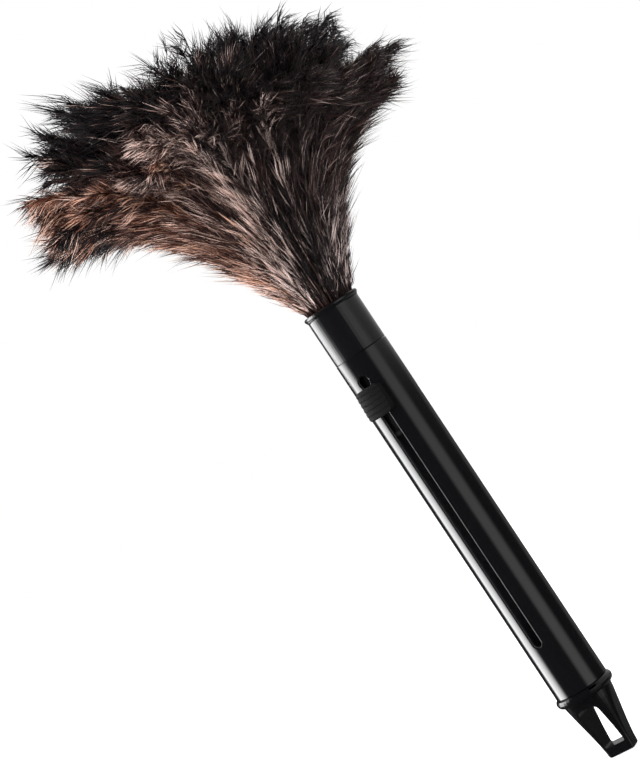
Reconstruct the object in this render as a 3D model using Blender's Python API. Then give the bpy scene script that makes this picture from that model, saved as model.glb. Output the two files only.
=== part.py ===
"""A retractable feather duster in metres, +Z up along the handle.

A thumb button runs in a keyhole slot of the handle tube. Its foot sits in a carriage inside the tube, and
the carriage carries the bound plume out of the nose collar and back. The origin is the middle of the
hanging loop's bearing face, where a hook holds the duster, and the slot faces -Y.
"""
import math

import bmesh
import bpy
from mathutils import Matrix, Vector

MM = 0.001
TURN = 2 * math.pi

# Clearances
SEAT_GAP = 0.3 * MM  # between pieces that rest on or in each other
SLIDE_GAP = 0.4 * MM  # between the carriage and the tube's bore
PASS_GAP = 0.5 * MM  # between the quill cup and the collar's bore
QUILL_GAP = 0.35 * MM  # between a quill and what lies beside it
SLOT_GAP = 0.3 * MM  # between the button's neck and the slot's sides
KEYHOLE_GAP = 0.2 * MM  # round the button's foot as it goes in by the round hole
STOP_GAP = 0.3 * MM  # left at a stop when the carriage has run all the way
CUT_OVERRUN = 1.0 * MM  # how far a cutter passes the faces that it cuts

# Handle tube
TUBE_DIAMETER = 25.0 * MM
TUBE_WALL = 1.5 * MM
TUBE_LENGTH = 170.0 * MM
TUBE_EDGE = 0.4 * MM
SLOT_WIDTH = 4.5 * MM
SLOT_FOOT = 24.3 * MM  # from the tube's lower edge to the slot's lower end
KEYHOLE_DIAMETER = 5.5 * MM
KEYHOLE_DROP = 11.4 * MM  # from the tube's upper edge to the middle of the round hole
SLOT_EDGE = 0.3 * MM

# Nose collar
COLLAR_LENGTH = 24.6 * MM
COLLAR_STEP = 0.1 * MM  # how far it stands in from the tube's outside
LIP_OVERHANG = 0.75 * MM  # how far the lip stands out from the tube's outside
LIP_THICKNESS = 1.9 * MM
COLLAR_WALL = 1.2 * MM  # of the part inside the tube
COLLAR_SPIGOT = 6.5 * MM
MOUTH_FLARE = 0.8 * MM
MOUTH_FLARE_DEPTH = 6.0 * MM
COLLAR_EDGE = 0.3 * MM

# End cap with its hanging loop
FLANGE_HEIGHT = 4.5 * MM
FLANGE_OVERHANG = 1.25 * MM
CAP_SPIGOT = 8.0 * MM
CAP_SPIGOT_WALL = 1.5 * MM
CAP_FLOOR = 2.0 * MM  # of the cup in the spigot, above the loop's opening
CAP_NECK = 4.0 * MM  # from the flange to the top of the loop's opening
CAP_SIDE_INSET = 0.5 * MM
CAP_FACE_INSET = 2.5 * MM
CAP_END_WIDTH = 13.2 * MM
CAP_END_DEPTH = 6.8 * MM
CAP_END_ROUND = 1.0 * MM
CAP_WIDTH_CURVE = 1.5  # powers that draw the body in: 1 is a straight taper
CAP_DEPTH_CURVE = 1.6
CAP_CORNER_CURVE = 1.2
LOOP_HEIGHT = 20.2 * MM
LOOP_WIDTH = 10.2 * MM
LOOP_BAR = 4.9 * MM
LOOP_TOP_ROUND = 2.5 * MM
LOOP_FOOT_ROUND = 0.8 * MM

# Thumb button
BUTTON_LENGTH = 13.7 * MM
BUTTON_WIDTH = 12.4 * MM
BUTTON_PROUD = 3.0 * MM  # above the tube's outside, at its upper end
BUTTON_RISE = 1.2 * MM  # how much prouder its lower end is
BUTTON_CORNER = 2.0 * MM
BUTTON_EDGE = 0.7 * MM
GRIP_PITCH = 2.3 * MM
GRIP_DEPTH = 0.35 * MM
GRIP_RADIUS = 0.8 * MM
GRIP_GROOVES = 5
FOOT_LENGTH = 4.2 * MM
FOOT_EDGE = 0.4 * MM
REST_DROP = 9.2 * MM  # the button's way down from the round hole to where it rests

# Carriage
CARRIAGE_ABOVE = 4.0 * MM  # of the button's stem
CARRIAGE_LENGTH = 22.0 * MM
CARRIAGE_HEAD = 9.5 * MM
CARRIAGE_WALL = 1.8 * MM
CARRIAGE_WAIST = 1.2 * MM
CARRIAGE_EDGE = 0.5 * MM
TONGUE_SLIT = 2.2 * MM
TONGUES = 4
PAD_HEIGHT = 2.0 * MM

# Plume and what binds it
CUP_HEIGHT = 20.0 * MM
CUP_WALL = 0.9 * MM
CUP_FLOOR = 1.5 * MM
CUP_BEAD = 0.35 * MM
PEG_DIAMETER = 4.0 * MM
PEG_DEPTH = 6.0 * MM  # into the carriage's head
PEG_CHAMFER = 0.6 * MM
WIRE_DIAMETER = 0.8 * MM
WIRE_SELF_GAP = 0.45 * MM
WIRE_TURNS = 6
PLUME_RADIUS = 88.0 * MM
PLUME_HEIGHT = 134.0 * MM
PLUME_LIFT = 9.0 * MM  # how much higher the plume's fuller side stands at its widest
PLUME_LIFT_AZIMUTH = math.radians(217)
VANE_HALF_WIDTH = 14.0 * MM
VANE_GAP = 0.35 * MM
QUILL_TIP_DIAMETER = 0.5 * MM
VANE_START = 10.0 * MM  # below the mouth, where the quills begin to spread

# Each layer of feathers from the middle out: how many, and its curve as shares of the plume's radius and
# height
PLUME_LAYER_SHARES = (
    {"count": 6, "rise": 0.35, "bend": (0.10, 0.72), "tip": (0.20, 0.99)},
    {"count": 9, "rise": 0.30, "bend": (0.20, 0.82), "tip": (0.60, 0.90)},
    {"count": 12, "rise": 0.24, "bend": (0.36, 0.78), "tip": (0.88, 0.72)},
    {"count": 15, "rise": 0.18, "bend": (0.60, 0.66), "tip": (1.00, 0.50)},
)
LAYER_SWING_SHARES = (0.0, 0.35, 0.15, 0.5)  # of a feather's own sector
FEATHER_REACH_SHARES = (1.0, 0.92, 0.97, 0.88, 0.95)  # of its layer's curve, taken in turn
THROAT_SPREAD_SHARE = 1.25  # how far a layer has opened by its rise, of its ring of quills
SLOPE_STEP_SHARE = 0.01  # of a layer's curve, over which its slope is taken
# A vane's half width along its length, and how much of it each notch leaves
VANE_WIDTH_SHARES = (0.14, 0.30, 0.55, 0.72, 0.92, 0.90, 1.00, 0.88, 0.94, 0.66, 0.50, 0.16)
VANE_NOTCH_SHARE = 0.74
BARB_SWEEP_SHARE = 0.045  # how far the barbs' ends lead the shaft, of the layer's curve

# Edges that fold more than this stay sharp in the shading
PLASTIC_SHARP = math.radians(35)
FEATHER_SHARP = math.radians(50)

TUBE_SIDES = 72
COLLAR_SIDES = 56
CAP_SIDES = 48
BUTTON_SIDES = 96
CARRIAGE_SIDES = 48
SMALL_SIDES = 24
LOOP_SECTIONS = 9
WIRE_POINTS = 16
ARC_STEPS = 4

# What follows from the sizes above
TUBE_RADIUS = TUBE_DIAMETER / 2
BORE_RADIUS = TUBE_RADIUS - TUBE_WALL
SPIGOT_RADIUS = BORE_RADIUS - SEAT_GAP
COLLAR_BORE = SPIGOT_RADIUS - COLLAR_WALL
CUP_RADIUS = COLLAR_BORE - PASS_GAP
CUP_BORE = CUP_RADIUS - CUP_WALL
PEG_RADIUS = PEG_DIAMETER / 2
LAYERS = len(PLUME_LAYER_SHARES)
QUILL_DIAMETER = (CUP_BORE - PEG_RADIUS - (LAYERS + 1) * QUILL_GAP) / LAYERS
NECK_RADIUS = SLOT_WIDTH / 2 - SLOT_GAP
FOOT_RADIUS = KEYHOLE_DIAMETER / 2 - KEYHOLE_GAP
# From the axis, so that the foot clears the bore beside the slot
FOOT_TOP = math.sqrt(BORE_RADIUS**2 - FOOT_RADIUS**2) - SLIDE_GAP

FLANGE_Z = LOOP_HEIGHT + CAP_NECK
TUBE_Z = FLANGE_Z + FLANGE_HEIGHT + SEAT_GAP
TUBE_TOP_Z = TUBE_Z + TUBE_LENGTH
MOUTH_Z = TUBE_TOP_Z + COLLAR_LENGTH
KEYHOLE_Z = TUBE_TOP_Z - KEYHOLE_DROP
SLOT_FOOT_Z = TUBE_Z + SLOT_FOOT
STEM_Z = KEYHOLE_Z - REST_DROP
TRAVEL_DOWN = STEM_Z - (SLOT_FOOT_Z + NECK_RADIUS + STOP_GAP)

# Heights from here on are from the button's stem, where the carriage's empty stands
MOUTH_UP = MOUTH_Z - STEM_Z
CUP_FOOT_UP = CARRIAGE_ABOVE + SEAT_GAP
QUILL_FOOT_UP = CUP_FOOT_UP + CUP_FLOOR + SEAT_GAP
WIRE_FOOT_UP = CUP_FOOT_UP + CUP_HEIGHT + WIRE_DIAMETER
WIRE_PITCH = WIRE_DIAMETER + WIRE_SELF_GAP
WIRE_TOP_UP = WIRE_FOOT_UP + WIRE_TURNS * WIRE_PITCH


def clear_scene():
    for thing in list(bpy.data.objects):
        bpy.data.objects.remove(thing, do_unlink=True)


def make_material(name, colour, roughness, metallic=0.0):
    material = bpy.data.materials.new(name)
    material.use_nodes = True
    shader = material.node_tree.nodes["Principled BSDF"]
    shader.inputs["Base Color"].default_value = (*colour, 1.0)
    shader.inputs["Roughness"].default_value = roughness
    shader.inputs["Metallic"].default_value = metallic
    return material


def make_empty(name, height):
    empty = bpy.data.objects.new(name, None)
    empty.location = (0, 0, height)
    bpy.context.collection.objects.link(empty)
    return empty


def make_object(name, bm, parent=None, height=0.0, material=None, sharp=PLASTIC_SHARP):
    """Turns a bmesh into a smooth-shaded object at a height above its parent."""
    bmesh.ops.remove_doubles(bm, verts=bm.verts, dist=0.001 * MM)
    bmesh.ops.recalc_face_normals(bm, faces=bm.faces)
    mesh = bpy.data.meshes.new(name)
    bm.to_mesh(mesh)
    bm.free()
    mesh.shade_smooth()
    mesh.set_sharp_from_angle(angle=sharp)
    if material:
        mesh.materials.append(material)
    thing = bpy.data.objects.new(name, mesh)
    bpy.context.collection.objects.link(thing)
    thing.parent = parent
    thing.location = (0, 0, height)
    return thing


def make_cutter(name, bm, parent=None, height=0.0):
    cutter = make_object(name, bm, parent, height)
    cutter.hide_render = True
    cutter.display_type = "WIRE"
    return cutter


def combine(thing, tool, operation):
    """Adds a Boolean that keeps working when a size is changed."""
    modifier = thing.modifiers.new(operation.title(), "BOOLEAN")
    modifier.operation = operation
    modifier.solver = "EXACT"
    modifier.object = tool


def arc(centre, radius, start, end, steps=ARC_STEPS):
    """Points on an arc in a profile's plane, with its angles in degrees."""
    points = []
    for step in range(steps + 1):
        angle = math.radians(start + (end - start) * step / steps)
        points.append((centre[0] + radius * math.cos(angle), centre[1] + radius * math.sin(angle)))
    return points


def lathe(profile, sides, closed=True):
    """Spins a profile of (radius, height) points once round Z."""
    bm = bmesh.new()
    verts = [bm.verts.new((radius, 0, height)) for radius, height in profile]
    edges = [bm.edges.new(pair) for pair in zip(verts, verts[1:])]
    if closed:
        edges.append(bm.edges.new((verts[-1], verts[0])))
    bmesh.ops.spin(
        bm, geom=verts + edges, cent=(0, 0, 0), axis=(0, 0, 1), angle=TURN, steps=sides, use_merge=True
    )
    return bm


def bridge(bm, rings):
    """Skins a row of rings that have the same number of points, and caps both ends."""
    loops = [[bm.verts.new(point) for point in ring] for ring in rings]
    count = len(loops[0])
    for low, high in zip(loops, loops[1:]):
        for i in range(count):
            j = (i + 1) % count
            bm.faces.new((low[i], low[j], high[j], high[i]))
    bm.faces.new(list(reversed(loops[0])))
    bm.faces.new(loops[-1])


def rounded_rectangle(half_width, half_depth, corner, sides):
    """Points of a rectangle with round corners, which is a circle when all three are alike."""
    points = []
    per_corner = sides // 4
    for quarter, (across, along) in enumerate(((1, 1), (-1, 1), (-1, -1), (1, -1))):
        centre = (across * (half_width - corner), along * (half_depth - corner))
        start = quarter * 90
        points += arc(centre, corner, start, start + 90, per_corner - 1)
    return points


def cylinder(radius, start, end, axis="Z", sides=SMALL_SIDES):
    """A plain cylinder between two places on Z or Y."""
    bm = bmesh.new()
    bmesh.ops.create_cone(
        bm,
        cap_ends=True,
        segments=sides,
        radius1=radius,
        radius2=radius,
        depth=end - start,
        matrix=Matrix.Translation((0, 0, (start + end) / 2)),
    )
    if axis == "Y":
        bm.transform(Matrix.Rotation(math.radians(-90), 4, "X"))
    return bm


def keyhole_outline(grow):
    """A slot with a round foot and a wider round hole at its head, in the tube's own heights."""
    half = SLOT_WIDTH / 2
    hole = KEYHOLE_DIAMETER / 2
    meet = math.degrees(math.asin((half + grow) / (hole + grow)))
    outline = arc((0, SLOT_FOOT + half), half + grow, 180, 360, 12)
    return outline + arc((0, TUBE_LENGTH - KEYHOLE_DROP), hole + grow, meet - 90, 270 - meet, 24)


def keyhole_tool():
    """Cuts the keyhole, with a chamfer that follows the tube's round outside."""
    rings = [[(x, 0.0, z) for x, z in keyhole_outline(0.0)]]
    for depth in (SLOT_EDGE, -CUT_OVERRUN):
        ring = []
        for x, z in keyhole_outline(SLOT_EDGE - depth):
            ring.append((x, -math.sqrt((TUBE_RADIUS - depth) ** 2 - x**2), z))
        rings.append(ring)
    bm = bmesh.new()
    bridge(bm, rings)
    return bm


def build_tube(parent, material):
    top = TUBE_LENGTH
    profile = [
        (BORE_RADIUS, 0.0),
        (BORE_RADIUS, top),
        (TUBE_RADIUS - TUBE_EDGE, top),
        (TUBE_RADIUS, top - TUBE_EDGE),
        (TUBE_RADIUS, 0.0),
    ]
    tube = make_object("handle_tube", lathe(profile, TUBE_SIDES), parent, TUBE_Z, material)
    combine(tube, make_cutter("keyhole_cutter", keyhole_tool(), parent, TUBE_Z), "DIFFERENCE")


def build_collar(parent, material):
    throat = TUBE_RADIUS - COLLAR_STEP
    lip = TUBE_RADIUS + LIP_OVERHANG
    lip_round = LIP_THICKNESS / 2
    flare = lip - throat
    flare_z = COLLAR_LENGTH - LIP_THICKNESS - flare / 2
    mouth = COLLAR_BORE + MOUTH_FLARE
    profile = [
        (COLLAR_BORE, -COLLAR_SPIGOT),
        (SPIGOT_RADIUS - COLLAR_EDGE, -COLLAR_SPIGOT),
        (SPIGOT_RADIUS, -COLLAR_SPIGOT + COLLAR_EDGE),
        (SPIGOT_RADIUS, SEAT_GAP),
        (throat - COLLAR_EDGE, SEAT_GAP),
        (throat, SEAT_GAP + COLLAR_EDGE),
    ]
    profile += arc((throat + flare, flare_z - flare / 2), flare, 180, 120)
    profile += arc((lip - lip_round, COLLAR_LENGTH - lip_round), lip_round, -60, 90)
    profile += arc((mouth + COLLAR_EDGE, COLLAR_LENGTH - COLLAR_EDGE), COLLAR_EDGE, 90, 180, 2)
    profile.append((COLLAR_BORE, COLLAR_LENGTH - MOUTH_FLARE_DEPTH))
    make_object("nose_collar", lathe(profile, COLLAR_SIDES), parent, TUBE_TOP_Z, material)


def cap_section(height):
    """The half width, half depth and corner of the end cap's body at a height."""
    left = (height + LOOP_BAR) / (FLANGE_Z + LOOP_BAR)
    end_width, end_depth = CAP_END_WIDTH / 2, CAP_END_DEPTH / 2
    half_width = end_width + (TUBE_RADIUS - CAP_SIDE_INSET - end_width) * left**CAP_WIDTH_CURVE
    half_depth = end_depth + (TUBE_RADIUS - CAP_FACE_INSET - end_depth) * left**CAP_DEPTH_CURVE
    corner = CAP_END_ROUND + (half_depth - CAP_END_ROUND) * left**CAP_CORNER_CURVE
    return half_width, half_depth, corner


def build_end_cap(parent, material):
    edge = CAP_END_ROUND
    heights = [FLANGE_Z + CAP_FLOOR / 2, FLANGE_Z]
    drop = FLANGE_Z + LOOP_BAR - edge
    heights += [FLANGE_Z - drop * i / LOOP_SECTIONS for i in range(1, LOOP_SECTIONS + 1)]
    rings = []
    for height in heights:
        half_width, half_depth, corner = cap_section(min(height, FLANGE_Z))
        outline = rounded_rectangle(half_width, half_depth, corner, CAP_SIDES)
        rings.append([(x, y, height) for x, y in outline])
    for draw, height in arc((edge, edge - LOOP_BAR), edge, 180, 270, 3)[1:]:
        half_width, half_depth, corner = cap_section(height)
        outline = rounded_rectangle(half_width - draw, half_depth - draw, corner, CAP_SIDES)
        rings.append([(x, y, height) for x, y in outline])
    bm = bmesh.new()
    bridge(bm, rings)
    cap = make_object("end_cap", bm, parent, 0.0, material)

    flange = FLANGE_HEIGHT / 2
    rim = TUBE_RADIUS + FLANGE_OVERHANG
    cup_bore = SPIGOT_RADIUS - CAP_SPIGOT_WALL
    top = FLANGE_HEIGHT + CAP_SPIGOT
    profile = [(0.0, 0.0)]
    profile += [(rim - flange + x, z) for x, z in arc((0, flange), flange, -90, 90, 8)]
    profile += [
        (SPIGOT_RADIUS, FLANGE_HEIGHT),
        (SPIGOT_RADIUS, top - COLLAR_EDGE),
        (SPIGOT_RADIUS - COLLAR_EDGE, top),
        (cup_bore, top),
        (cup_bore, CAP_FLOOR),
        (0.0, CAP_FLOOR),
    ]
    plug = make_cutter("spigot_tool", lathe(profile, CAP_SIDES, closed=False), parent, FLANGE_Z)
    combine(cap, plug, "UNION")

    half = LOOP_WIDTH / 2
    foot_round, top_round = LOOP_FOOT_ROUND, LOOP_TOP_ROUND
    right = arc((half - foot_round, foot_round), foot_round, -90, 0, 3)
    right += arc((half - top_round, LOOP_HEIGHT - top_round), top_round, 0, 90, 6)
    outline = right + [(-x, z) for x, z in reversed(right)]
    reach = TUBE_RADIUS + CUT_OVERRUN
    bm = bmesh.new()
    bridge(bm, [[(x, y, z) for x, z in outline] for y in (-reach, reach)])
    combine(cap, make_cutter("loop_cutter", bm, parent), "DIFFERENCE")


def grip_profile():
    """Half the section of a ring round the tube: the button's ribbed, curved top and its two rounded ends."""
    low, high = TUBE_RADIUS + BUTTON_PROUD + BUTTON_RISE, TUBE_RADIUS + BUTTON_PROUD
    end, edge = BUTTON_LENGTH / 2, BUTTON_EDGE
    open_angle = math.degrees(math.acos(1 - GRIP_DEPTH / GRIP_RADIUS))
    profile = [(TUBE_RADIUS + SEAT_GAP, -end)]
    profile += arc((low - edge, edge - end), edge, -90, 0)
    for place in range(GRIP_GROOVES):
        height = (place - (GRIP_GROOVES - 1) / 2) * GRIP_PITCH
        crest = high + BUTTON_RISE * (end - height) / BUTTON_LENGTH
        centre = (crest - GRIP_DEPTH + GRIP_RADIUS, height)
        profile += arc(centre, GRIP_RADIUS, 180 + open_angle, 180 - open_angle)
    profile += arc((high - edge, end - edge), edge, 0, 90)
    profile.append((TUBE_RADIUS + SEAT_GAP, end))
    return profile


def build_button(parent, material):
    """The button's cap hugs the tube, its neck fits the slot and its foot passes only the round hole."""
    near = -(TUBE_RADIUS + BUTTON_PROUD + BUTTON_RISE + CUT_OVERRUN)
    outline = rounded_rectangle(BUTTON_WIDTH / 2, BUTTON_LENGTH / 2, BUTTON_CORNER, SMALL_SIDES)
    bm = bmesh.new()
    bridge(bm, [[(x, y, z) for x, z in outline] for y in (near, -TUBE_RADIUS / 2)])
    button = make_object("thumb_button", bm, parent, 0.0, material)
    grip = make_cutter("grip_tool", lathe(grip_profile(), BUTTON_SIDES), parent)
    combine(button, grip, "INTERSECT")

    root = TUBE_RADIUS + BUTTON_PROUD / 2
    profile = [
        (0.0, root),
        (NECK_RADIUS, root),
        (NECK_RADIUS, FOOT_TOP),
        (FOOT_RADIUS, FOOT_TOP),
        (FOOT_RADIUS, FOOT_TOP - FOOT_LENGTH + FOOT_EDGE),
        (FOOT_RADIUS - FOOT_EDGE, FOOT_TOP - FOOT_LENGTH),
        (0.0, FOOT_TOP - FOOT_LENGTH),
    ]
    stem = lathe(profile, SMALL_SIDES, closed=False)
    stem.transform(Matrix.Rotation(math.radians(90), 4, "X"))
    combine(button, make_cutter("stem_tool", stem, parent), "UNION")


def build_carriage(parent, material):
    """A solid head holds the button's foot and the peg. Below it a slit skirt makes springy tongues."""
    outer = BORE_RADIUS - SLIDE_GAP
    pad = BORE_RADIUS - SEAT_GAP
    inner = outer - CARRIAGE_WALL
    top, head = CARRIAGE_ABOVE, CARRIAGE_ABOVE - CARRIAGE_HEAD
    foot = CARRIAGE_ABOVE - CARRIAGE_LENGTH
    waist = outer - CARRIAGE_WAIST
    edge = CARRIAGE_EDGE
    profile = [
        (0.0, top),
        (outer - edge, top),
        (outer, top - edge),
        (outer, head),
        (waist, head - edge),
        (waist, foot + PAD_HEIGHT + edge + edge),
        (pad, foot + PAD_HEIGHT),
        (pad, foot + edge),
        (pad - edge, foot),
        (inner - edge, foot),
        (inner - edge, head + edge),
        (inner - edge - edge, head + edge + edge),
        (0.0, head + edge + edge),
    ]
    carriage = make_object(
        "slide_carriage", lathe(profile, CARRIAGE_SIDES, closed=False), parent, 0.0, material
    )

    half, reach = TONGUE_SLIT / 2, TUBE_RADIUS
    corners = [(-reach, -half), (reach, -half), (reach, half), (-reach, half)]
    for place in range(TONGUES // 2):
        slit = bmesh.new()
        bridge(slit, [[(x, y, z) for x, y in corners] for z in (foot - CUT_OVERRUN, head - edge)])
        slit.transform(Matrix.Rotation(TURN * (place + 0.5) / TONGUES, 4, "Z"))
        combine(carriage, make_cutter(f"slit_cutter_{place + 1}", slit, parent), "DIFFERENCE")

    socket = cylinder(
        FOOT_RADIUS + SEAT_GAP, -(outer + CUT_OVERRUN), -(FOOT_TOP - FOOT_LENGTH - SEAT_GAP), axis="Y"
    )
    combine(carriage, make_cutter("foot_socket_cutter", socket, parent), "DIFFERENCE")
    bore = cylinder(PEG_RADIUS + SEAT_GAP, top - PEG_DEPTH, top + CUT_OVERRUN)
    combine(carriage, make_cutter("peg_bore_cutter", bore, parent), "DIFFERENCE")


def build_cup(parent, material):
    profile = [
        (PEG_RADIUS + SEAT_GAP, 0.0),
        (CUP_RADIUS - CUP_BEAD, 0.0),
        (CUP_RADIUS, CUP_BEAD),
        (CUP_RADIUS, CUP_HEIGHT - CUP_BEAD),
        (CUP_RADIUS - CUP_BEAD, CUP_HEIGHT),
        (CUP_BORE, CUP_HEIGHT),
        (CUP_BORE, CUP_FLOOR),
        (PEG_RADIUS + SEAT_GAP, CUP_FLOOR),
    ]
    make_object("quill_cup", lathe(profile, CARRIAGE_SIDES), parent, CUP_FOOT_UP, material)


def build_peg(parent, material):
    foot = CARRIAGE_ABOVE - PEG_DEPTH + SEAT_GAP
    profile = [
        (0.0, WIRE_TOP_UP),
        (PEG_RADIUS - PEG_CHAMFER, WIRE_TOP_UP),
        (PEG_RADIUS, WIRE_TOP_UP - PEG_CHAMFER),
        (PEG_RADIUS, foot + PEG_CHAMFER),
        (PEG_RADIUS - PEG_CHAMFER, foot),
        (0.0, foot),
    ]
    make_object("core_peg", lathe(profile, SMALL_SIDES, closed=False), parent, 0.0, material)


def build_wire(parent, material):
    """The wire is one helix round the outer quills, and its least gap to itself is printed."""
    radius = (CUP_BORE - QUILL_GAP + SEAT_GAP + WIRE_DIAMETER / 2) / math.cos(math.pi / WIRE_POINTS)
    points = []
    for step in range(WIRE_TURNS * WIRE_POINTS + 1):
        angle = TURN * step / WIRE_POINTS
        height = WIRE_FOOT_UP + WIRE_PITCH * step / WIRE_POINTS
        points.append(Vector((radius * math.cos(angle), radius * math.sin(angle), height)))
    least = min(
        (points[i] - points[j]).length - WIRE_DIAMETER
        for i in range(len(points))
        for j in range(i + WIRE_POINTS // 2, len(points))
    )
    print(f"binding_wire: least gap to itself {least / MM:.2f} mm")
    curve = bpy.data.curves.new("binding_wire", "CURVE")
    curve.dimensions = "3D"
    curve.bevel_depth = WIRE_DIAMETER / 2
    curve.bevel_resolution = 1
    curve.use_fill_caps = True
    spline = curve.splines.new("POLY")
    spline.points.add(len(points) - 1)
    for place, point in zip(spline.points, points):
        place.co = (*point, 1.0)
    curve.materials.append(material)
    wire = bpy.data.objects.new("binding_wire", curve)
    bpy.context.collection.objects.link(wire)
    wire.parent = parent


def layer_root(layer):
    """The radius of the ring that a layer's quills stand on."""
    return PEG_RADIUS + QUILL_GAP + QUILL_DIAMETER / 2 + layer * (QUILL_DIAMETER + QUILL_GAP)


def layer_curve(layer, azimuth, share):
    """Radius and height of a layer's surface at a share of its curve, from where the quills spread."""
    shares = PLUME_LAYER_SHARES[layer]
    root = layer_root(layer)
    start = MOUTH_UP - VANE_START
    controls = [
        (root, start),
        (root * THROAT_SPREAD_SHARE, MOUTH_UP + shares["rise"] * PLUME_HEIGHT),
        (shares["bend"][0] * PLUME_RADIUS, MOUTH_UP + shares["bend"][1] * PLUME_HEIGHT),
        (shares["tip"][0] * PLUME_RADIUS, MOUTH_UP + shares["tip"][1] * PLUME_HEIGHT),
    ]
    left = 1 - share
    weights = (left**3, 3 * left**2 * share, 3 * left * share**2, share**3)
    radius = sum(w * c[0] for w, c in zip(weights, controls))
    height = sum(w * c[1] for w, c in zip(weights, controls))
    lift = PLUME_LIFT * math.cos(azimuth - PLUME_LIFT_AZIMUTH) * (radius / PLUME_RADIUS) ** 2
    return radius, height + lift


def on_layer(layer, azimuth, share, out=0.0):
    """A point on a layer's surface, or out from it along the surface's own normal."""
    radius, height = layer_curve(layer, azimuth, share)
    if out:
        ahead = layer_curve(layer, azimuth, share + SLOPE_STEP_SHARE)
        behind = layer_curve(layer, azimuth, share - SLOPE_STEP_SHARE)
        run = Vector((ahead[0] - behind[0], ahead[1] - behind[1])).normalized()
        radius += run.y * out
        height -= run.x * out
    return Vector((radius * math.cos(azimuth), radius * math.sin(azimuth), height))


def feather_rings(layer, azimuth, reach):
    """Four-cornered rings from the quill's foot to the tip: two edges, the shaft's face and its back."""
    count = PLUME_LAYER_SHARES[layer]["count"]
    root = layer_root(layer)
    half_quill = QUILL_DIAMETER / 2
    rings = []
    for height in (QUILL_FOOT_UP, MOUTH_UP - VANE_START):
        ring = []
        for out, across in ((0, -1), (1, 0), (0, 1), (-1, 0)):
            radius, aside = root + out * half_quill, across * half_quill
            ring.append((
                radius * math.cos(azimuth) - aside * math.sin(azimuth),
                radius * math.sin(azimuth) + aside * math.cos(azimuth),
                height,
            ))
        rings.append(ring)
    stations = len(VANE_WIDTH_SHARES)
    for station, width_share in enumerate(VANE_WIDTH_SHARES):
        run = (station + 1) / stations
        share = reach * run
        notch = VANE_NOTCH_SHARE if station % 2 else 1.0
        half_width = VANE_HALF_WIDTH * width_share * notch
        lead = min(share + BARB_SWEEP_SHARE * width_share * notch, 1.0)
        if station == stations - 1:
            lead = share
        radius = layer_curve(layer, azimuth, lead)[0]
        sector = math.pi / count - VANE_GAP / 2 / radius
        spread = min(max(half_width, half_quill) / radius, sector)
        half_shaft = (QUILL_TIP_DIAMETER + (QUILL_DIAMETER - QUILL_TIP_DIAMETER) * (1 - run)) / 2
        rings.append([
            on_layer(layer, azimuth - spread, lead),
            on_layer(layer, azimuth, share, half_shaft),
            on_layer(layer, azimuth + spread, lead),
            on_layer(layer, azimuth, share, -half_shaft),
        ])
    return rings


def skin_feather(rings):
    """Skins a feather with triangles. Their diagonals are alike on face and back, so they never meet."""
    bm = bmesh.new()
    loops = [[bm.verts.new(point) for point in ring] for ring in rings]
    for low, high in zip(loops, loops[1:]):
        for edge, shaft in ((0, 1), (0, 3), (2, 1), (2, 3)):
            bm.faces.new((low[edge], low[shaft], high[shaft]))
            bm.faces.new((low[edge], high[shaft], high[edge]))
    for left, face, right, back in (loops[0], loops[-1]):
        bm.faces.new((left, face, back))
        bm.faces.new((right, face, back))
    return bm


def build_feathers(parent, materials):
    number = 0
    for layer, shares in enumerate(PLUME_LAYER_SHARES):
        for place in range(shares["count"]):
            number += 1
            azimuth = TURN * (place + LAYER_SWING_SHARES[layer]) / shares["count"]
            reach = FEATHER_REACH_SHARES[(place + layer) % len(FEATHER_REACH_SHARES)]
            bm = skin_feather(feather_rings(layer, azimuth, reach))
            material = materials[number % len(materials)]
            make_object(f"feather_{number:02d}", bm, parent, 0.0, material, sharp=FEATHER_SHARP)


clear_scene()
handle = make_empty("handle", 0.0)
slide = make_empty("slide", STEM_Z)
gloss_black = make_material("gloss_black_plastic", (0.006, 0.006, 0.008), 0.12)
collar_black = make_material("collar_black_plastic", (0.007, 0.007, 0.009), 0.16)
cap_black = make_material("cap_black_plastic", (0.005, 0.005, 0.006), 0.2)
satin_black = make_material("satin_black_plastic", (0.015, 0.015, 0.016), 0.42)
dark_plastic = make_material("dark_sliding_plastic", (0.03, 0.03, 0.03), 0.45)
cup_black = make_material("black_cup_plastic", (0.02, 0.02, 0.02), 0.5)
wire_steel = make_material("binding_wire_steel", (0.55, 0.55, 0.56), 0.3, metallic=1.0)
wood = make_material("peg_wood", (0.5, 0.33, 0.18), 0.6)
feather_browns = [
    make_material("feather_black_brown", (0.02, 0.014, 0.012), 0.7),
    make_material("feather_dark_brown", (0.06, 0.035, 0.026), 0.7),
    make_material("feather_grey_brown", (0.16, 0.11, 0.09), 0.7),
]
build_tube(handle, gloss_black)
build_collar(handle, collar_black)
build_end_cap(handle, cap_black)
build_button(slide, satin_black)
build_carriage(slide, dark_plastic)
build_cup(slide, cup_black)
build_peg(slide, wood)
build_wire(slide, wire_steel)
build_feathers(slide, feather_browns)
print(f"slide: rest {STEM_Z / MM:.2f} mm, up {REST_DROP / MM:.2f} mm, down {TRAVEL_DOWN / MM:.2f} mm")
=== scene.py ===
import math

import bmesh
import bpy
import numpy as np
from mathutils import Matrix, Vector


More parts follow.
